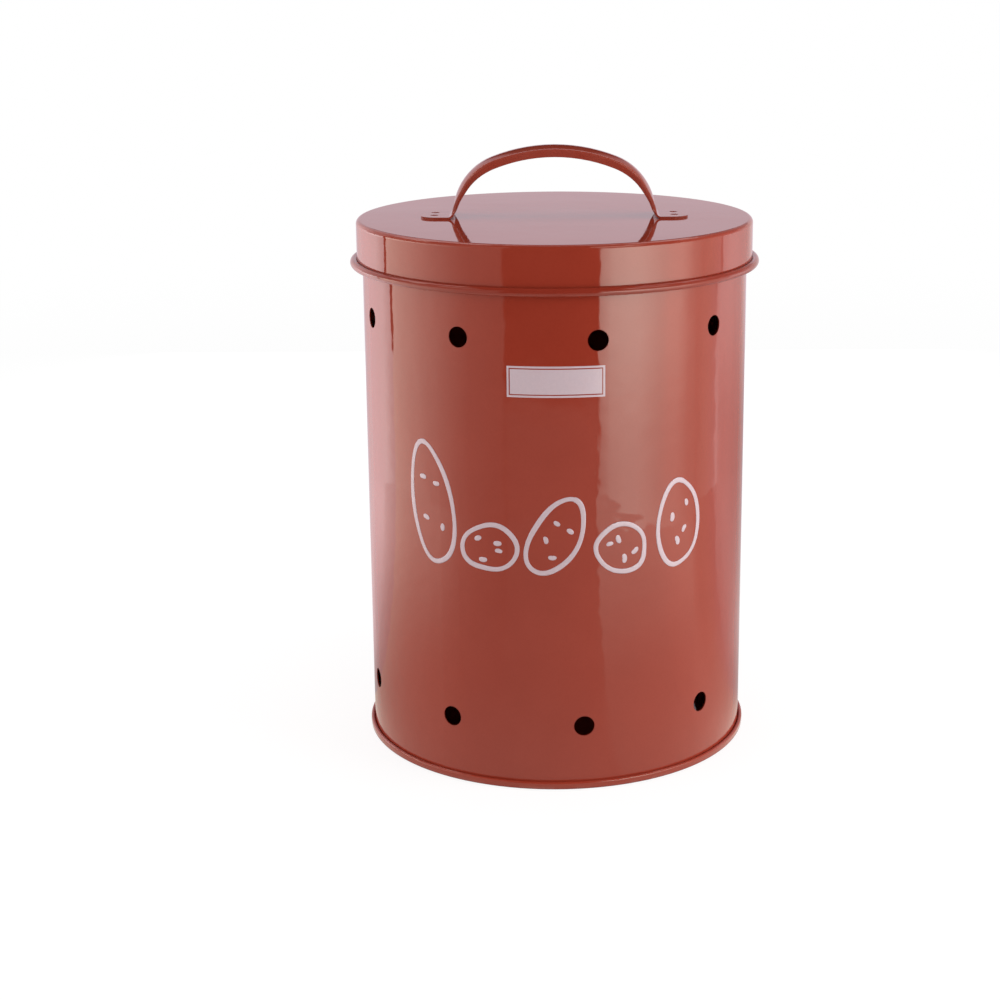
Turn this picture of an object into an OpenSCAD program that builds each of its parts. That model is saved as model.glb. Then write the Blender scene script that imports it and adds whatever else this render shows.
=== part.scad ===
// Vented storage bin for vegetables, made of coated sheet steel in millimetres.
// A rolled body is double-seamed to a raised base, and a pressed cap lid with a curled edge slips
// over the body's rolled rim. A strap handle, pressed to a crowned channel, is spot-welded to the lid.
// The origin is on the floor at the middle of the base, +Z is up and the front faces -Y.

/* [Body] */
// Outside diameter of the body wall
body_d = 194.4; // [160:0.2:240]
// Height of the body's rolled rim above the floor
body_h = 268.2; // [180:0.2:340]
// Thickness of the body's sheet
body_sheet = 0.6; // [0.4:0.05:0.8]
// Outside diameter of the hollow curl along the rim
rim_curl_d = 2.5; // [2.2:0.1:4]
// Width of the lock seam that closes the wall at the back
lock_seam_w = 6; // [4:0.5:10]
// Height left single between the lock seam and the base's panel or the rim's curl
lock_seam_trim = 1.5; // [0.8:0.1:4]

/* [Vents] */
// Diameter of a vent
vent_d = 10; // [5:0.5:16]
// Number of vents in a ring
vent_count = 9; // [5:1:11]
// Drop from the body's rim to the middle of the upper ring of vents
upper_vent_drop = 44.2; // [38:0.2:80]
// Height of the lower ring of vents
lower_vent_z = 32.5; // [20:0.5:70]
// Turn of the upper ring from the front
upper_vent_turn = 12; // [6:1:14]
// Turn of the lower ring from the front
lower_vent_turn = 8; // [6:1:14]

/* [Base] */
// Thickness of the base's sheet
base_sheet = 0.6; // [0.4:0.05:0.8]
// Height of the base panel's underside above the floor
base_rise = 4.5; // [4:0.1:9]
// Height of the double seam around the base
seam_h = 3.9; // [3.6:0.1:6]
// Gap between the folded layers of a seam
seam_slack = 0.1; // [0.05:0.01:0.15]
// Outside radius of the seam's two lower corners
seam_corner_r = 1.2; // [1:0.05:1.4]

/* [Lid] */
// Thickness of the lid's sheet
lid_sheet = 0.6; // [0.4:0.05:0.8]
// Height of the whole lid shell, from its top to the bottom of the curled edge
lid_h = 23.5; // [15:0.5:32]
// Outside radius of the corner between the lid's top and its skirt
lid_corner_r = 2.2; // [1.2:0.1:2.4]
// Outside diameter of the hollow curl along the lid's lower edge
lid_curl_d = 4; // [3:0.1:6]
// Clearance around the body's rim inside the skirt
lid_clearance = 0.3; // [0.25:0.05:0.8]
// Clearance between the body's rim and the underside of the lid's top
lid_seat_gap = 0.3; // [0.2:0.05:0.5]

/* [Handle] */
// Thickness of the handle's strap
strap_sheet = 1; // [0.8:0.1:1.4]
// Width of the flat strap before it is pressed, which is also the width of a foot
strap_w = 25; // [22:0.5:32]
// Height of the handle above the lid's top
handle_rise = 35.8; // [34:0.2:48]
// Distance between the bends above the two feet
handle_span = 102.4; // [96:0.2:112]
// Outside radius of the arch over its middle
arch_r = 86; // [76:1:110]
// Outside radius of the arch's two shoulders
shoulder_r = 31; // [24:1:38]
// Slope of the legs where they meet the feet
leg_slope = 80; // [70:1:83]
// Inside radius of the bend between a leg and its foot
foot_bend_r = 2; // [1:0.1:2.6]
// Length of a foot from its bend to its end
foot_l = 16; // [13:0.1:20]
// Radius of a foot's two corners
foot_corner_r = 8; // [4:0.5:10]
// Slope of the strap's crown where it turns down into a flange
crown_slope = 16; // [8:1:30]
// Mid-sheet radius of the fold between the crown and a flange
fold_r = 1; // [0.8:0.1:1.4]
// Straight depth of a flange along the arch
flange_arch = 2.7; // [1.5:0.1:3.5]
// Straight depth of a flange low on a leg
flange_leg = 0.7; // [0.4:0.1:1.2]
// Length of leg over which the crown fades towards a foot
crown_fade_l = 14; // [8:0.5:24]
// Length of leg and shoulder over which the flanges get shallower towards a foot
flange_fade_l = 36; // [20:1:48]
// Length over which the flanges open flat into a foot
unfold_l = 5; // [4:0.1:7]

/* [Welds] */
// Diameter of a spot weld's dimple
weld_d = 5; // [3:0.5:6]
// Depth of a spot weld's dimple
weld_depth = 0.2; // [0.1:0.05:0.5]
// Distance between the two spot welds of a foot
weld_pitch = 10; // [7:0.5:13]

/* [Hidden] */

coat = [0.66, 0.27, 0.22];
round_steps = 240;
hole_steps = 48;
dimple_turn_steps = 32;
curl_steps = 30;
bend_steps = 8;
lock_layers = 2;

// Radii of the layers that the double seam folds together, from the wall outwards
wall_in_r = body_d / 2 - body_sheet;
wall_mid_r = body_d / 2 - body_sheet / 2;
base_hook_r = body_d / 2 + seam_slack + base_sheet / 2;
body_hook_r = base_hook_r + base_sheet / 2 + seam_slack + body_sheet / 2;
seam_face_r = body_hook_r + body_sheet / 2 + seam_slack + base_sheet / 2;
chuck_r = wall_in_r - seam_slack - base_sheet / 2;

// The two hooks turn through half a circle each: the body's at its bottom, the base's at its top
body_turn_r = (body_hook_r - wall_mid_r) / 2;
body_turn_z = base_sheet + seam_slack + body_sheet / 2 + body_turn_r;
base_turn_r = (seam_face_r - base_hook_r) / 2;
base_turn_z = seam_h - base_sheet / 2 - base_turn_r;
corner_mid_r = seam_corner_r - base_sheet / 2;
panel_z = base_rise + base_sheet / 2;
// The raised panel turns down to the seam with the same outside radius as the seam's corners
panel_bend_r = corner_mid_r;

// The rim's curl stands outwards, and the lid's skirt clears it all round
rim_curl_r = (rim_curl_d - body_sheet) / 2;
rim_curl_z = body_h - rim_curl_d / 2;
rim_out_r = wall_in_r + rim_curl_d;
rim_turn = curl_turn(body_sheet, rim_curl_d);

skirt_mid_r = rim_out_r + lid_clearance + lid_sheet / 2;
lid_top_z = body_h + lid_seat_gap + lid_sheet;
lid_corner_mid_r = lid_corner_r - lid_sheet / 2;
lid_curl_r = (lid_curl_d - lid_sheet) / 2;
lid_curl_z = lid_top_z - lid_h + lid_curl_d / 2;
lid_turn = curl_turn(lid_sheet, lid_curl_d);

// Angle through which a sheet rolls until its raw edge comes back to the face that it left
function curl_turn(sheet, d) = 180 + acos((sheet + seam_slack - d / 2) / (d / 2));

// A folded sheet is traced as a list of moves. A straight move is [length, 0, steps], and a bend is
// [mid-sheet radius, angle, steps], with a positive angle turning left. Each traced point is
// [x, z, heading, distance along the sheet].
function straight(p, l, n) = [for (i = [1 : n])
    [p[0] + l * i / n * cos(p[2]), p[1] + l * i / n * sin(p[2]), p[2], p[3] + l * i / n]];

function bend(p, r, a, n) =
    let (side = sign(a), cx = p[0] - side * r * sin(p[2]), cz = p[1] + side * r * cos(p[2]))
    [for (i = [1 : n])
        let (h = p[2] + a * i / n)
        [cx + side * r * sin(h), cz - side * r * cos(h), h, p[3] + r * abs(a) * i / n * PI / 180]];

function trace(p, moves, i = 0) =
    i == len(moves) ? [p] :
    let (m = moves[i], run = m[1] == 0 ? straight(p, m[0], m[2]) : bend(p, m[0], m[1], m[2]))
    concat([p], [for (k = [0 : 1 : len(run) - 2]) run[k]], trace(run[len(run) - 1], moves, i + 1));

// The outline of a sheet of thickness t around its traced mid-line
function sheet_side(line, off) = [for (p = line) [p[0] - off * sin(p[2]), p[1] + off * cos(p[2])]];

function turned_round(list) = [for (i = [len(list) - 1 : -1 : 0]) list[i]];

function sheet_outline(line, t) = concat(sheet_side(line, t / 2), turned_round(sheet_side(line, -t / 2)));

module spun_sheet(line, t) {
    rotate_extrude($fn = round_steps)
        polygon(sheet_outline(line, t));
}

// Body: hook, half turn, wall and outward rim curl, in one folded line
body_line = trace([body_hook_r, base_turn_z - seam_slack, -90, 0], [
    [base_turn_z - seam_slack - body_turn_z, 0, 1],
    [body_turn_r, -180, 2 * bend_steps],
    [rim_curl_z - body_turn_z, 0, 1],
    [rim_curl_r, -rim_turn, curl_steps]]);

// Each punch runs through the wall and through the layers of the lock seam
module vent_ring(z, turn) {
    punch_reach = (lock_layers + 2) * body_sheet;
    for (i = [0 : vent_count - 1])
        rotate([0, 0, turn - 90 + i * 360 / vent_count])
            translate([body_d / 2 - punch_reach, 0, z])
                rotate([0, 90, 0])
                    cylinder(d = vent_d, h = 2 * punch_reach, $fn = hole_steps);
}

// Inner layers of the lock seam, trimmed away where the base and the rim are formed
module lock_seam() {
    span = lock_seam_w / wall_in_r * 180 / PI;
    low_z = base_rise + base_sheet + lock_seam_trim;
    high_z = body_h - rim_curl_d - lock_seam_trim;
    rotate([0, 0, 90 - span / 2])
        rotate_extrude(angle = span, $fn = round_steps)
            translate([wall_in_r - lock_layers * body_sheet, low_z])
                square([lock_layers * body_sheet + body_sheet / 2, high_z - low_z]);
}

module body_wall() {
    color(coat)
        difference() {
            union() {
                spun_sheet(body_line, body_sheet);
                lock_seam();
            }
            vent_ring(body_h - upper_vent_drop, upper_vent_turn);
            vent_ring(lower_vent_z, lower_vent_turn);
        }
}

// Base: raised panel, wall inside the body, flat land on the floor, outer face and hook
base_line = trace([0, panel_z, 0, 0], [
    [chuck_r - panel_bend_r, 0, 1],
    [panel_bend_r, -90, bend_steps],
    [panel_z - panel_bend_r - seam_corner_r, 0, 1],
    [corner_mid_r, 90, bend_steps],
    [seam_face_r - chuck_r - 2 * corner_mid_r, 0, 1],
    [corner_mid_r, 90, bend_steps],
    [base_turn_z - seam_corner_r, 0, 1],
    [base_turn_r, 180, 2 * bend_steps],
    [base_turn_z - body_turn_z - 2 * seam_slack, 0, 1]]);

module base_plate() {
    color(coat)
        spun_sheet(base_line, base_sheet);
}

// Lid: top, corner, skirt and outward curl
lid_line = trace([0, lid_top_z - lid_sheet / 2, 0, 0], [
    [skirt_mid_r - lid_corner_mid_r, 0, 1],
    [lid_corner_mid_r, -90, bend_steps],
    [lid_top_z - lid_corner_r - lid_curl_z, 0, 1],
    [lid_curl_r, lid_turn, curl_steps]]);

module lid_shell() {
    color(coat)
        spun_sheet(lid_line, lid_sheet);
}

// Half of the handle's side view: a shallow arch, a shoulder tangent to it and to the straight leg,
// and the bend out to the foot. Heights are above the lid's top.
arch_mid_r = arch_r - strap_sheet / 2;
shoulder_mid_r = shoulder_r - strap_sheet / 2;
foot_bend_mid_r = foot_bend_r + strap_sheet / 2;
apex_z = handle_rise - strap_sheet / 2;
leg_up = [-cos(leg_slope), sin(leg_slope)];
leg_in = [-sin(leg_slope), -cos(leg_slope)];
arch_centre = [0, apex_z - arch_mid_r];
leg_base = [handle_span / 2, strap_sheet / 2];
reach_in = leg_base + shoulder_mid_r * leg_in - arch_centre;
along = reach_in * leg_up;
leg_to_shoulder = -along + sqrt(along * along - reach_in * reach_in + pow(arch_mid_r - shoulder_mid_r, 2));
shoulder_at = reach_in + leg_to_shoulder * leg_up;
arch_half_angle = atan2(shoulder_at[0], shoulder_at[1]);
bend_take_up = foot_bend_mid_r * tan(leg_slope / 2);

arch_steps = 7;
shoulder_steps = 11;
leg_steps = 4;
foot_bend_steps = 6;
arch_line = trace([0, apex_z, 0, 0], [
    [arch_mid_r, -arch_half_angle, arch_steps],
    [shoulder_mid_r, arch_half_angle - leg_slope, shoulder_steps],
    [leg_to_shoulder - bend_take_up, 0, leg_steps],
    [foot_bend_mid_r, leg_slope, foot_bend_steps],
    [foot_l - bend_take_up - foot_corner_r, 0, 1]]);
foot_bend_at = arch_line[arch_steps + shoulder_steps + leg_steps][3];
foot_bend_l = foot_bend_mid_r * leg_slope * PI / 180;
corner_at = arch_line[len(arch_line) - 1];

// The foot's last stations close in around its two corners
corner_steps = 7;
foot_end = [for (i = [1 : corner_steps])
    let (a = 90 * i / corner_steps)
    [corner_at[0] + foot_corner_r * sin(a), corner_at[1], 0, corner_at[3] + foot_corner_r * sin(a)]];
half_line = concat(arch_line, foot_end);

function ease(u) = let (v = min(1, max(0, u))) v * v * (3 - 2 * v);

function crown_at(s) = crown_slope * ease((foot_bend_at - s) / crown_fade_l);

function flange_at(s) = flange_leg + (flange_arch - flange_leg) * ease((foot_bend_at - s) / flange_fade_l);

function fold_at(s) = 90 * ease((foot_bend_at + foot_bend_l / 2 - s) / unfold_l);

// Share of the foot's width that is left at a distance along the strap
function corner_share(s) =
    let (past = min(foot_corner_r, max(0, s - corner_at[3])))
    1 - (foot_corner_r - sqrt(pow(foot_corner_r, 2) - past * past)) / (strap_w / 2);

// Half of the strap's cross-section, as [across, out from the arch, slope] from its middle to an edge
crown_steps = 4;
fold_steps = 3;
flat_slope = 0.01;

function half_section(s) =
    let (crown = max(flat_slope, crown_at(s)),
         fold = max(crown, fold_at(s)),
         flange = flange_at(s),
         crown_l = strap_w / 2 - flange - fold_r * (fold - crown) * PI / 180,
         crown_r = crown_l / (crown * PI / 180),
         edge_y = crown_r * sin(crown),
         edge_n = -crown_r * (1 - cos(crown)))
    concat(
        [for (i = [0 : crown_steps])
            let (a = crown * i / crown_steps)
            [crown_r * sin(a), -crown_r * (1 - cos(a)), a]],
        [for (i = [1 : fold_steps])
            let (a = crown + (fold - crown) * i / fold_steps)
            [edge_y + fold_r * (sin(a) - sin(crown)), edge_n - fold_r * (cos(crown) - cos(a)), a]],
        [[edge_y + fold_r * (sin(fold) - sin(crown)) + flange * cos(fold),
          edge_n - fold_r * (cos(crown) - cos(fold)) - flange * sin(fold), fold]]);

function section_side(half, off) = [for (p = half) [p[0] + off * sin(p[2]), p[1] + off * cos(p[2])]];

function both_sides(side) = concat(
    [for (i = [len(side) - 1 : -1 : 1]) [-side[i][0], side[i][1]]],
    side);

// One closed ring of points around the strap at a station of its side view
function strap_ring(p, hand) =
    let (half = half_section(p[3]),
         share = corner_share(p[3]),
         face = both_sides(section_side(half, strap_sheet / 2)),
         back = both_sides(section_side(half, -strap_sheet / 2)))
    [for (q = concat(face, turned_round(back)))
        [hand * (p[0] - q[1] * sin(p[2])), share * q[0], p[1] + q[1] * cos(p[2])]];

// The flat back of the strap's foot is on the lid, so the ring's lower points lie at the lid's top
strap_rings = concat(
    [for (i = [len(half_line) - 1 : -1 : 1]) strap_ring(half_line[i], -1)],
    [for (p = half_line) strap_ring(p, 1)]);

module strap() {
    n = len(strap_rings[0]);
    last = len(strap_rings) - 1;
    walls = [for (i = [0 : last - 1])
        for (k = [0 : n - 1])
            let (a = i * n + k, b = i * n + (k + 1) % n)
            each [[a, b, a + n], [b, b + n, a + n]]];
    start_cap = [for (k = [0 : n / 2 - 2])
        each [[k, n - 1 - k, k + 1], [k + 1, n - 1 - k, n - 2 - k]]];
    end_cap = [for (f = start_cap) [for (k = [2 : -1 : 0]) last * n + f[k]]];
    polyhedron(points = [for (ring = strap_rings) each ring], faces = concat(walls, start_cap, end_cap));
}

// Each spot weld leaves a shallow round dimple, which is part of a sphere
dimple_steps = 4;
dimple_r = (pow(weld_d / 2, 2) + pow(weld_depth, 2)) / (2 * weld_depth);
dimple_half_angle = asin(weld_d / 2 / dimple_r);
dimple_line = [for (i = [0 : dimple_steps])
    let (a = dimple_half_angle * i / dimple_steps)
    [dimple_r * sin(a), dimple_r * (1 - cos(a)) - weld_depth]];

module weld_dimples() {
    foot_flat_l = foot_l - bend_take_up;
    for (x = [-1, 1])
        for (y = [-1, 1])
            translate([x * (handle_span / 2 + bend_take_up + foot_flat_l / 2), y * weld_pitch / 2, strap_sheet])
                rotate_extrude($fn = dimple_turn_steps)
                    polygon(concat(dimple_line, [[weld_d / 2, weld_depth], [0, weld_depth]]));
}

module lid_handle() {
    color(coat)
        translate([0, 0, lid_top_z])
            difference() {
                strap();
                weld_dimples();
            }
}

body_wall();
base_plate();
lid_shell();
lid_handle();
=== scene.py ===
import math
import random

import bmesh
import bpy
from mathutils import Matrix, Vector


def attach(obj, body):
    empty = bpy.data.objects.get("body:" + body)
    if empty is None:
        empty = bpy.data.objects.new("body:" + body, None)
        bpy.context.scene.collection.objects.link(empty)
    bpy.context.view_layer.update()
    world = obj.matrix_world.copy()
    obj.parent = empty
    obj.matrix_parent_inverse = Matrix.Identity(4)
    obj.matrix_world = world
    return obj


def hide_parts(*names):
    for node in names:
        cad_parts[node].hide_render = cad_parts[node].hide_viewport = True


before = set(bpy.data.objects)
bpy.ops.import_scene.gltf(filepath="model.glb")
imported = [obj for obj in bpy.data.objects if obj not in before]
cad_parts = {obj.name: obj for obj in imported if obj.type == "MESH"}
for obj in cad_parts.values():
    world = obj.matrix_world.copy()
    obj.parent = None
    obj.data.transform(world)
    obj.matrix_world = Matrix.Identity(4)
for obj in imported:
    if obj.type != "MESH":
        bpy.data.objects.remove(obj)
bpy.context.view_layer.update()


# The body is one sheet of thin steel, rolled round, hooked shut down the back and
# curled over at the rim, with two rings of punched vents. After forming it gets a gloss
# terracotta powder coat, which lies a little thinner on the curls and the punched edges.
class Wire:
    """One socket among a finish's nodes, with Python's operators for the Math nodes."""

    def __init__(self, tree, socket=None):
        self.tree = tree
        self.socket = socket

    def node(self, kind, sockets=None, output=0, **settings):
        """Adds a node, fills its sockets with values or other Wires, and gives one of its outputs."""
        made = self.tree.nodes.new(kind)
        for name, value in settings.items():
            setattr(made, name, value)
        for name, value in (sockets or {}).items():
            if isinstance(value, Wire):
                self.tree.links.new(value.socket, made.inputs[name])
            else:
                made.inputs[name].default_value = value
        return Wire(self.tree, made.outputs[output])

    def maths(self, operation, *terms):
        return self.node("ShaderNodeMath", dict(enumerate(terms)), operation=operation)

    def __add__(self, other):
        return self.maths("ADD", self, other)

    def __sub__(self, other):
        return self.maths("SUBTRACT", self, other)

    def __rsub__(self, other):
        return self.maths("SUBTRACT", other, self)

    def __mul__(self, other):
        return self.maths("MULTIPLY", self, other)

    def __truediv__(self, other):
        return self.maths("DIVIDE", self, other)

    __radd__ = __add__
    __rmul__ = __mul__

    def step(self, low, high, start=0.0, end=1.0):
        """Goes smoothly from start to end as this value goes from low to high."""
        sockets = {"Value": self, "From Min": low, "From Max": high, "To Min": start, "To Max": end}
        return self.node("ShaderNodeMapRange", sockets, interpolation_type="SMOOTHSTEP")

    def between(self, start, full, fade, end):
        """Goes from 0 at start to 1 at full, and from 1 at fade back to 0 at end."""
        return self.step(start, full) * self.step(fade, end, 1, 0)

    def toward(self, other, mask):
        """This value, or the other value where the mask is 1."""
        return self + (other - self) * mask

    def blend(self, plain, other):
        """The colour plain, or the colour other where this mask is 1."""
        return self.node("ShaderNodeMix", {0: self, 6: plain, 7: other}, 2, data_type="RGBA")

    def noise(self, scale, detail, roughness=0.5):
        """Soft noise at this place."""
        sockets = {"Vector": self, "Scale": scale, "Detail": detail, "Roughness": roughness}
        return self.node("ShaderNodeTexNoise", sockets)

    def show(self, kind="ShaderNodeOutputMaterial"):
        """Makes this shader the one that its material or world shows."""
        output = self.tree.nodes.new(kind)
        self.tree.links.new(self.socket, output.inputs["Surface"])


def bare_nodes(owner):
    """Empties a material or world, and gives a Wire to build its new nodes with."""
    owner.use_nodes = True
    owner.node_tree.nodes.clear()
    return Wire(owner.node_tree)


def apart(place):
    """A place's x, y and z."""
    return [place.node("ShaderNodeSeparateXYZ", {"Vector": place}, name) for name in "XYZ"]


def distance(across, along):
    """How far off a place is that lies this far across and along."""
    return across.maths("SQRT", across * across + along * along)


def bearing(x, y):
    """Degrees round the bin's axis, from 0 at the front to 90 at its right."""
    return x.maths("ARCTAN2", x, y * -1) * math.degrees(1)


terracotta = (0.305, 0.0366, 0.019, 1)
terracotta_thin = (0.215, 0.021, 0.0115, 1)
terracotta_light = (0.345, 0.047, 0.026, 1)
sheen_and_dust_colour = (0.42, 0.30, 0.25, 1)
coat_ior = 1.35
rim_top = 0.2683


def powder_coat(name, thin=None, dust_and_sheen=None, ripple=1.0):
    """Gloss powder coat on sheet steel. The thin mask says where the coat is thin; the other mask says
    where dust dulls and tints it, and on the handle its pale tint is a painted sheen.
    """
    material = bpy.data.materials.new(name)
    wire = bare_nodes(material)
    place = wire.node("ShaderNodeTexCoord", output="Object")

    clouds = place.noise(22, 3, 0.6)
    grain = place.noise(900, 2, 0.6)
    colour = clouds.step(0.25, 0.75, 0.0, 0.5).blend(terracotta, terracotta_light)
    colour = (grain.step(0.35, 0.75) * 0.12).blend(colour, terracotta_thin)

    cells = {"Vector": place, "Scale": 95, "Randomness": 1}
    middle = wire.node("ShaderNodeTexVoronoi", cells, "Position")
    chance = wire.node("ShaderNodeTexWhiteNoise", {"Vector": middle}, noise_dimensions="3D")
    specks = wire.node("ShaderNodeTexVoronoi", cells).step(0.028, 0.05, 1, 0) * chance.step(0.80, 0.81)
    colour = (specks * 0.35).blend(colour, terracotta_light)

    roughness = place.noise(9, 5, 0.65).step(0.3, 0.8, 0.015, 0.045) + grain.step(0.3, 0.8, 0, 0.015)
    if thin is not None:
        edge = thin(place)
        colour = (edge * 0.75).blend(colour, terracotta_thin)
        roughness = roughness + edge * 0.06
    # Dust dulls the coat and tints it pale; on the handle this pale tint is a painted sheen.
    if dust_and_sheen is not None:
        film_and_sheen = dust_and_sheen(place)
        colour = (film_and_sheen * 0.22).blend(colour, sheen_and_dust_colour)
        roughness = roughness + film_and_sheen * 0.2

    # The rolled sheet has small dents, and the pressed lid's flat top hardly any.
    height = apart(place)[2]
    dents = place.noise(110, 1) * height.step(rim_top, rim_top + 0.0005, 0.28, 0.06)
    sheet = place.noise(16, 1.5, 0.45) + dents
    waves = wire.node("ShaderNodeBump", {"Strength": 1, "Distance": 0.00042 * ripple, "Height": sheet})
    peel = place.noise(420, 2) + specks * 2.5
    skin = wire.node(
        "ShaderNodeBump", {"Strength": 1, "Distance": 0.0000045, "Height": peel, "Normal": waves},
    )
    sockets = {"Base Color": colour, "Roughness": roughness, "IOR": coat_ior, "Normal": skin}
    wire.node("ShaderNodeBsdfPrincipled", sockets).show()
    return material


wall_radius = 0.0972
vent_rings = (
    # turn of the ring, height
    (12, 0.224),
    (8, 0.0325),
)
vent_pitch = 40
vent_edge = (0.0049, 0.0056)
rim_curl = (0.2655, 0.2675)


def body_edges(place):
    """Round each punched vent, and along the curled rim, the coat is thin."""
    x, y, z = apart(place)
    mask = z.step(*rim_curl)
    for turn, height in vent_rings:
        from_vent = x.maths("PINGPONG", bearing(x, y) - turn, vent_pitch / 2)
        off = distance(from_vent * (math.radians(1) * wall_radius), z - height)
        mask = z.maths("MAXIMUM", mask, off.step(*vent_edge, 1, 0))
    return mask


body_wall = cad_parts["body_wall"]
body_wall.material_slots[0].material = powder_coat("body coat", thin=body_edges)


# The base is one pressed sheet of the same steel. Its edge is folded round the foot of the
# body in a double seam, which is the band at the bottom that the bin stands on. It has the
# same coat, which picks up a little dust along the floor.
def floor_dust(place):
    z = apart(place)[2]
    return z.step(0.0, 0.0025, 1, 0) * place.noise(60, 4, 0.7).step(0.4, 0.65)


base_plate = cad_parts["base_plate"]
base_plate.material_slots[0].material = powder_coat("base coat", dust_and_sheen=floor_dust)


# The lid is one pressed cap with a flat top and a short skirt, which ends in an outward
# curl. The coat is thinner over the curl, and fingers and dust leave the top a little
# duller than the sides.
def lid_edges(place):
    x, y, z = apart(place)
    return distance(x, y).step(0.1022, 0.1033) * 0.7


def lid_dust(place):
    z = apart(place)[2]
    return z.step(0.2684, 0.269) * place.noise(26, 5, 0.6).step(0.42, 0.75) * 0.25


lid_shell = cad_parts["lid_shell"]
lid_shell.material_slots[0].material = powder_coat("lid coat", thin=lid_edges, dust_and_sheen=lid_dust, ripple=0.7)


# The handle is one strip of steel, pressed to a crowned channel, bent to an arch and opened
# flat into two feet, which are spot welded to the lid. The one coat covers it and the lid
# together: it eases the sheared edges, and hands have dulled it a little, while a pale tint
# in its colour is a painted sheen.
def handle_edges(place):
    x, y, z = apart(place)
    across = y.maths("ABSOLUTE", y)
    return across.step(0.0098, 0.0103) * z.step(0.271, 0.275) * 0.5


# Patchy dulling of the coat; the pale tint it also gives the colour is a painted sheen.
def handle_dulling_and_painted_sheen(place):
    return place.noise(70, 4, 0.6).step(0.3, 0.7, 0.12, 0.32)


def put(name, data):
    """Adds an object to the scene."""
    made = bpy.data.objects.new(name, data)
    bpy.context.scene.collection.objects.link(made)
    return made


sharp_fold = math.radians(32)
same_place = 0.000002

handle = put("handle_strap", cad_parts["lid_handle"].data.copy())
mesh = bmesh.new()
mesh.from_mesh(handle.data)
bmesh.ops.remove_doubles(mesh, verts=mesh.verts, dist=same_place)
for face in mesh.faces:
    face.smooth = True
for edge in mesh.edges:
    edge.smooth = len(edge.link_faces) == 2 and edge.calc_face_angle(0) < sharp_fold
mesh.to_mesh(handle.data)
mesh.free()
handle.data.materials.clear()
handle.data.materials.append(powder_coat("handle coat", thin=handle_edges, dust_and_sheen=handle_dulling_and_painted_sheen, ripple=0.4))
even = handle.modifiers.new("even_normals", "WEIGHTED_NORMAL")
even.keep_sharp = True
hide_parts("lid_handle")
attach(handle, "lid")


# A blank plate is screen printed high on the front, in one layer of pale ink. It is a plain
# field, with a thin gap of bare coat inside its border.
def printing_ink(name):
    """A screen ink with a satin skin. It lies thinner in places, so the coat tints it."""
    material = bpy.data.materials.new(name)
    wire = bare_nodes(material)
    place = wire.node("ShaderNodeTexCoord", output="Object")
    patches = place.noise(260, 4, 0.65)
    weave = place.noise(2600, 1)
    colour = patches.step(0.35, 0.75, 0, 0.35).blend((0.59, 0.46, 0.495, 1), (0.52, 0.36, 0.38, 1))
    roughness = patches.step(0.3, 0.7, 0.22, 0.32)
    skin = wire.node("ShaderNodeBump", {"Strength": 0.6, "Distance": 0.000004, "Height": weave + patches})
    sockets = {"Base Color": colour, "Roughness": roughness, "IOR": coat_ior, "Normal": skin}
    wire.node("ShaderNodeBsdfPrincipled", sockets).show()
    return material


def wrap_on_wall(mesh):
    """Rolls a flat print, x along the wall, y up and z proud of it, on to the body's front."""
    for vert in mesh.verts:
        turn = vert.co.x / wall_radius
        out = wall_radius + vert.co.z
        vert.co = (out * math.sin(turn), -out * math.cos(turn), vert.co.y)


def put_mesh(name, mesh, material):
    """Adds an object made of a bmesh and one material, and frees the bmesh."""
    made = put(name, bpy.data.meshes.new(name))
    mesh.to_mesh(made.data)
    mesh.free()
    made.data.materials.append(material)
    return made


ink = printing_ink("pale ink")
ink_depth = 0.00006
ink_lift = 0.00001
plate_size = (0.0465, 0.0149)
plate_middle = (0.0004, 0.2046)
border_width = 0.00095
bare_width = 0.00055

mesh = bmesh.new()
bmesh.ops.create_grid(mesh, x_segments=28, y_segments=6, size=0.5)
bmesh.ops.scale(mesh, vec=(*plate_size, 1), verts=mesh.verts)
border = bmesh.ops.inset_region(
    mesh, faces=mesh.faces[:], thickness=border_width, use_even_offset=True, use_boundary=True,
)["faces"]
field = [face for face in mesh.faces if face not in set(border)]
bare = bmesh.ops.inset_region(mesh, faces=field, thickness=bare_width, use_even_offset=True)["faces"]
bmesh.ops.delete(mesh, geom=bare, context="FACES")
raised = bmesh.ops.extrude_face_region(mesh, geom=mesh.faces[:])["geom"]
raised = [item for item in raised if isinstance(item, bmesh.types.BMVert)]
bmesh.ops.translate(mesh, vec=(0, 0, ink_depth), verts=raised)
bmesh.ops.translate(mesh, vec=(*plate_middle, ink_lift), verts=mesh.verts)
bmesh.ops.recalc_face_normals(mesh, faces=mesh.faces)
wrap_on_wall(mesh)
plate = put_mesh("blank_plate", mesh, ink)
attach(plate, "bin")


# Below it runs a row of five potatoes, drawn with one loose stroke each and a few short
# marks for their eyes. They are printed in the same ink.
stroke = 0.0012
flattening = 0.06
row = (
    # across, up, half length, half width, tilt, phase
    (-0.0648, 0.1400, 0.0290, 0.0128, 97, 0.4),
    (-0.0325, 0.1225, 0.0135, 0.0115, 10, 1.9),
    (0.0000, 0.1290, 0.0200, 0.0112, 65, 3.1),
    (0.0322, 0.1220, 0.0132, 0.0112, -14, 4.4),
    (0.0644, 0.1300, 0.0215, 0.0125, 84, 5.6),
)
outline_points = 120
eyes = 4
eye_points = 15
eye_sweep = math.radians(120)
draw = random.Random(7)
pen = bpy.data.curves.new("pen", "CURVE")
pen.dimensions = "3D"
pen.bevel_depth = stroke
pen.bevel_resolution = 3
pen.use_fill_caps = True


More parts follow.
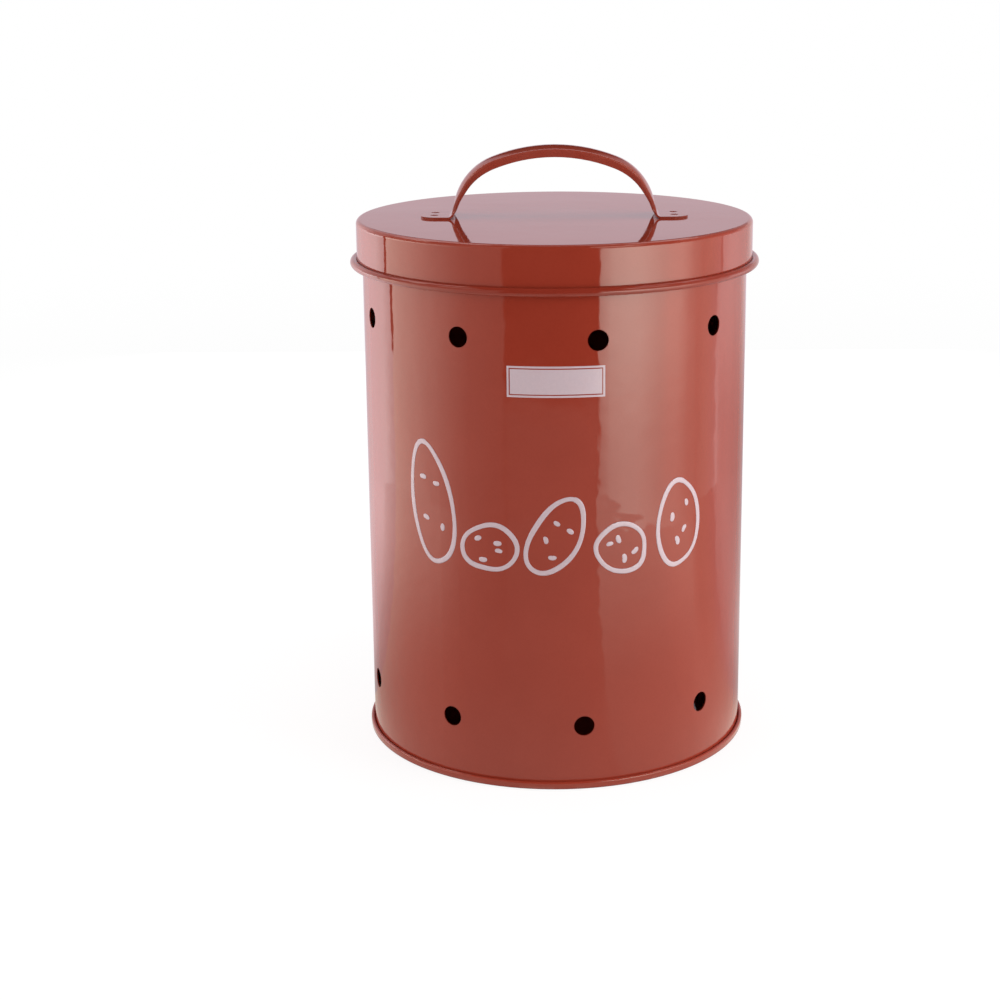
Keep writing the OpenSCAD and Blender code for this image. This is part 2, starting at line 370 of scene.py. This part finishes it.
def pull_stroke(points, closed=False):
    """Draws one stroke of the pen, with round ends and a hand's small changes of pressure."""
    line = pen.splines.new("POLY")
    line.points.add(len(points) - 1)
    line.use_cyclic_u = closed
    start = draw.uniform(0, 6)
    lengths = [0.0]
    for before, after in zip(points, points[1:]):
        lengths.append(lengths[-1] + (Vector(after) - Vector(before)).length)
    for dot, (across, up), run in zip(line.points, points, lengths):
        dot.co = (across, up, 0, 1)
        press = 1 + 0.10 * math.sin(start + 3.1 * run / 0.02)
        if not closed:
            to_end = min(run, lengths[-1] - run, stroke) / stroke
            press *= math.sqrt(max(0.02, 1 - (1 - to_end) ** 2))
        dot.radius = press


for across, up, long, wide, tilt, phase in row:
    lean = Matrix.Rotation(math.radians(tilt), 2)
    outline = []
    for count in range(outline_points):
        turn = math.tau * count / outline_points
        swell = 1 + 0.05 * math.sin(2 * turn + phase) + 0.035 * math.sin(3 * turn + 2.3 * phase)
        swell += 0.012 * math.sin(5 * turn + phase)
        at = lean @ Vector((long * swell * math.cos(turn), wide * swell * math.sin(turn)))
        outline.append((across + at.x, up + at.y))
    pull_stroke(outline, closed=True)
    for eye in range(eyes):
        turn = math.tau * (eye + 0.25 + draw.uniform(-0.12, 0.12)) / eyes + phase
        reach = draw.uniform(0.42, 0.56)
        middle = lean @ Vector((long * reach * math.cos(turn), wide * reach * math.sin(turn)))
        bend = draw.uniform(0, math.tau)
        size = draw.uniform(0.0016, 0.0022)
        arc = []
        for count in range(eye_points):
            sweep = bend + eye_sweep * count / (eye_points - 1)
            arc.append((across + middle.x + size * math.cos(sweep), up + middle.y + size * math.sin(sweep)))
        pull_stroke(arc)

pen_object = put("pen", pen)
drawn = bpy.data.meshes.new_from_object(pen_object.evaluated_get(bpy.context.evaluated_depsgraph_get()))
bpy.data.objects.remove(pen_object)
mesh = bmesh.new()
mesh.from_mesh(drawn)
bmesh.ops.scale(mesh, vec=(1, 1, flattening), verts=mesh.verts)
wrap_on_wall(mesh)
bmesh.ops.recalc_face_normals(mesh, faces=mesh.faces)
for face in mesh.faces:
    face.smooth = True
potatoes = put_mesh("drawn_potatoes", mesh, ink)
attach(potatoes, "bin")


# The bin stands on a wide white table in a white room. Seen by the camera and in the coat's
# gloss the table is lit up to white, and it keeps the bin's soft shadow.
def seen(wire):
    """1 for what the camera sees, or sees in a gloss or through glass, and 0 for plain light."""
    direct, glossy, through = (
        wire.node("ShaderNodeLightPath", output=name)
        for name in ("Is Camera Ray", "Is Glossy Ray", "Is Transmission Ray")
    )
    return wire.maths("MAXIMUM", wire.maths("MAXIMUM", direct, glossy), through)


white = (1, 1, 1, 1)
table_half = 12
table_drop = 0.0002

table_top = bpy.data.materials.new("white table")
wire = bare_nodes(table_top)
x, y, z = apart(wire.node("ShaderNodeTexCoord", output="Object"))
paper = wire.node("ShaderNodeBsdfDiffuse", {"Color": (0.5, 0.5, 0.5, 1)})
paper_seen = wire.node("ShaderNodeBsdfDiffuse", {"Color": (0.2, 0.2, 0.2, 1)})
lit_up = wire.node("ShaderNodeEmission", {"Color": white, "Strength": 0.86})
near = wire.node("ShaderNodeAddShader", {0: paper_seen, 1: lit_up})
far = wire.node("ShaderNodeEmission", {"Color": white, "Strength": 1})
shown = wire.node("ShaderNodeMixShader", {0: distance(x, y).step(0.3, 1.6), 1: near, 2: far})
wire.node("ShaderNodeMixShader", {0: seen(wire), 1: paper, 2: shown}).show()

mesh = bmesh.new()
bmesh.ops.create_grid(mesh, x_segments=2, y_segments=2, size=table_half)
bmesh.ops.translate(mesh, vec=(0, 0, -table_drop), verts=mesh.verts)
put_mesh("table", mesh, table_top)

room = bpy.data.worlds.new("white room")
bpy.context.scene.world = room
wire = bare_nodes(room)
dim = wire.node("ShaderNodeBackground", {"Color": white, "Strength": 0.44})
bright = wire.node("ShaderNodeBackground", {"Color": white, "Strength": 1})
wire.node("ShaderNodeMixShader", {0: seen(wire), 1: dim, 2: bright}).show("ShaderNodeOutputWorld")


# A drum of reflectors stands round the bin, for its gloss alone: a bright softbox on the
# right, a softer one on the left that is brighter above, a dark gap between them where the
# camera stands, a pale wall low at the back, one panel overhead and a dim floor. A band of
# its wall is kept dim, so that the lid's top doesn't turn white when seen from the side.
drum_radius = 0.56
drum_height = 0.8
drum_steps = 144
floor_hole = 0.1
floor_height = 0.0005
top_hole = 0.002
brightest = 10
levels = (
    # angle from the front, brightness
    (-180, 0.83), (-160, 0.83), (-148, 0.9), (-133, 1.65), (-122, 2.6), (-114, 3.5),
    (-103, 3.25), (-91, 3.35), (-82, 3.3), (-73, 2.8), (-65, 2.3), (-50, 1.25),
    (-43, 1.02), (-36, 0.88), (-27.2, 0.75), (-26.4, 0.0), (22.9, 0.0), (23.7, 4.7),
    (30, 7.6), (38, 8.5), (45, 8.5), (59, 6.0), (71, 4.9), (79, 2.6), (86, 1.6),
    (102.5, 1.5), (104, 2.3), (111, 2.2), (126, 1.2), (136, 0.85), (146, 0.9), (160, 0.83),
)


def level_around(around):
    """The brightness at this angle, along straight lines between the levels."""
    made = around.tree.nodes.new("ShaderNodeValToRGB")
    stops = made.color_ramp.elements
    stops.remove(stops[-1])
    places = [angle / 360 + 0.5 for angle, _ in levels]
    stops[0].position = places[0]
    for place in places[1:]:
        stops.new(place)
    for stop, (_, level) in zip(stops, levels):
        grey = level / brightest
        stop.color = (grey, grey, grey, 1)
    around.tree.links.new((around / 360 + 0.5).socket, made.inputs["Fac"])
    return Wire(around.tree, made.outputs["Color"])


reflectors = bpy.data.materials.new("reflectors")
wire = bare_nodes(reflectors)
x, y, z = apart(wire.node("ShaderNodeTexCoord", output="Object"))
out = distance(x, y)
around = bearing(x, y)
to_side = around.maths("ABSOLUTE", around)
level = level_around(around)
gap = around.between(-28, -26, 22, 24)
right = around.between(20, 24, 70, 95)
left = around.between(-112, -100, -62, -40)

# Each reflector is dimmer near the floor, and the left one brighter at the lid's height.
rise = (1 - right) + right * z.step(0.02, 0.17, 0.62, 1.02)
rise = rise * (1 - left * z.step(0.04, 0.14, 0.1, 0))
rise = rise * (1 - around.step(104, 112) * z.step(0.03, 0.17, 0.4, 0))
bright = z.step(0.195, 0.24, 0, 0.7) * z.step(0.29, 0.31, 1, 0)
rise = rise * (1 + around.between(-145, -100, -62, -40) * bright)

# Thin dark seams part the sheets of the walls, and each wall has its own top.
seam = around.between(-105.6, -105.0, -103.4, -102.8) * z.step(0.1, 0.115)
seam = seam + around.between(101.4, 101.9, 103.2, 103.8) * z.step(0.15, 0.165, 0, 0.4)
kept = (1 - to_side.step(158, 168) * z.step(0.385, 0.4)) * (1 - seam * 0.95)
kept = kept * (1 - right * z.step(0.4, 0.42, 0, 0.5))
kept = kept * (1 - around.step(76, 90) * z.step(0.385, 0.4, 0, 0.45))
dim_band = z.between(0.29, 0.31, 0.66, 0.7) * to_side.step(140, 150, 1, 0)
dim_level = around.step(-112, -105, 0.13, 0.083) * z.step(0.46, 0.49, 1, 0.72)
dimmed = level.maths("MINIMUM", level, dim_level)
high = (level * rise).toward(dimmed, dim_band) * kept

# The floor is dim, but for the foot of the softbox on the right, which runs from the wall on
# to the floor and ends in a slant. The gap in front is all but dark.
low = level.maths("MINIMUM", level, 0.28) * around.step(60, 112, 1, 0.62)
slant = z + out - around.step(26, 62, 0.014, -0.058)
foot = slant.step(drum_radius - 0.004, drum_radius + 0.004)
wall = low.toward(high, 1 - right * (1 - foot)).toward(z.step(0.06, 0.12, 0.075, 0.0), gap)
outer_floor = low.toward(high, right * foot).toward(0.085, gap)

# Close to the bin the floor carries a painted shade of the bin, deeper at its sides.
painted_bin_shade = 1 - to_side.step(45, 115) * out.step(0.1, 0.24, 0.58, 0.2)
inner_floor = out.step(0.1, 0.26, 0.115, 0.085) * (1 + right * 0.2) * painted_bin_shade
floor = inner_floor.toward(outer_floor, out.step(0.12, 0.55))
panel = y.between(0.03, 0.06, 0.42, 0.46) * 0.25
over_wall = z.step(drum_height - 0.005, drum_height - 0.002)
over_floor = z.step(floor_height + 0.0003, floor_height + 0.0007)
shine = floor.toward(wall.toward(panel, over_wall), over_floor)

# The light is pinkish on the far left and at the back, and yellowish in front.
warm = around.between(-104.6, -103.6, 90, 104)
softbox = around.between(20, 24, 58, 66)
tint = around.step(-135, -104).blend((1.24, 1, 1.03, 1), (1.06, 1, 1, 1))
tint = to_side.step(146, 158).blend(tint, (1.03, 0.885, 0.975, 1))
tint = softbox.blend(warm.blend(tint, (1.3, 1.16, 1.02, 1)), (1.08, 1.16, 1.03, 1))
light = wire.node("ShaderNodeVectorMath", {"Vector": tint, "Scale": shine}, operation="SCALE")
wire.node("ShaderNodeEmission", {"Color": light, "Strength": brightest}).show()

mesh = bmesh.new()
profile = [
    mesh.verts.new((0, -across, up))
    for across, up in (
        (floor_hole, floor_height),
        (drum_radius, floor_height),
        (drum_radius, drum_height),
        (top_hole, drum_height),
    )
]
edges = [mesh.edges.new(pair) for pair in zip(profile, profile[1:])]
bmesh.ops.spin(
    mesh, geom=profile + edges, cent=(0, 0, 0), axis=(0, 0, 1), angle=math.tau, steps=drum_steps,
    use_merge=True, use_duplicate=False,
)
drum = put_mesh("reflector_drum", mesh, reflectors)
drum.visible_camera = False
drum.visible_diffuse = False
drum.visible_shadow = False
drum.visible_transmission = False


# Three soft lamps stand at the height of the bin, left and right of the camera and behind the
# bin, a weak one above the camera and one over the lid. The gloss doesn't show them: it shows
# the drum.
lamps = (
    # name, angle from the front, distance, height, size, power
    ("lamp right", 68, 0.95, 0.24, (0.7, 0.55), 7.7),
    ("lamp left", -62, 0.95, 0.24, (0.8, 0.55), 4.7),
    ("lamp front", 8, 1.5, 0.9, (0.8, 0.8), 1.0),
    ("lamp over", 160, 0.1, 1.2, (0.6, 0.6), 2.1),
    ("lamp back", 180, 0.95, 0.2, (0.8, 0.4), 2.4),
)
aim = Vector((0, 0, 0.15))
for name, angle, away, height, size, power in lamps:
    lamp = bpy.data.lights.new(name, "AREA")
    lamp.shape = "RECTANGLE"
    lamp.size, lamp.size_y = size
    lamp.energy = power
    turn = math.radians(angle)
    lit = put(name, lamp)
    lit.location = (away * math.sin(turn), -away * math.cos(turn), height)
    lit.rotation_euler = (aim - lit.location).to_track_quat("-Z", "Y").to_euler()
    lit.visible_camera = False
    lit.visible_glossy = False


# The camera stands just under a metre in front of the bin, a little above its lid, and looks
# slightly down. Its place, lens and turns are fitted to the photograph's edges.
camera_place = (0, -0.9933, 0.4054)
camera_dip = 0.253
camera_roll = -0.0044
lens = bpy.data.cameras.new("camera")
lens.lens = 70.927
lens.sensor_width = 36
lens.shift_x = -0.0554
lens.shift_y = -0.0535
camera = put("camera", lens)
camera.matrix_world = (
    Matrix.Translation(camera_place)
    @ Matrix.Rotation(math.pi / 2 - camera_dip, 4, "X")
    @ Matrix.Rotation(camera_roll, 4, "Z")
)
bpy.context.scene.camera = camera
bpy.context.scene.view_settings.view_transform = "Standard"
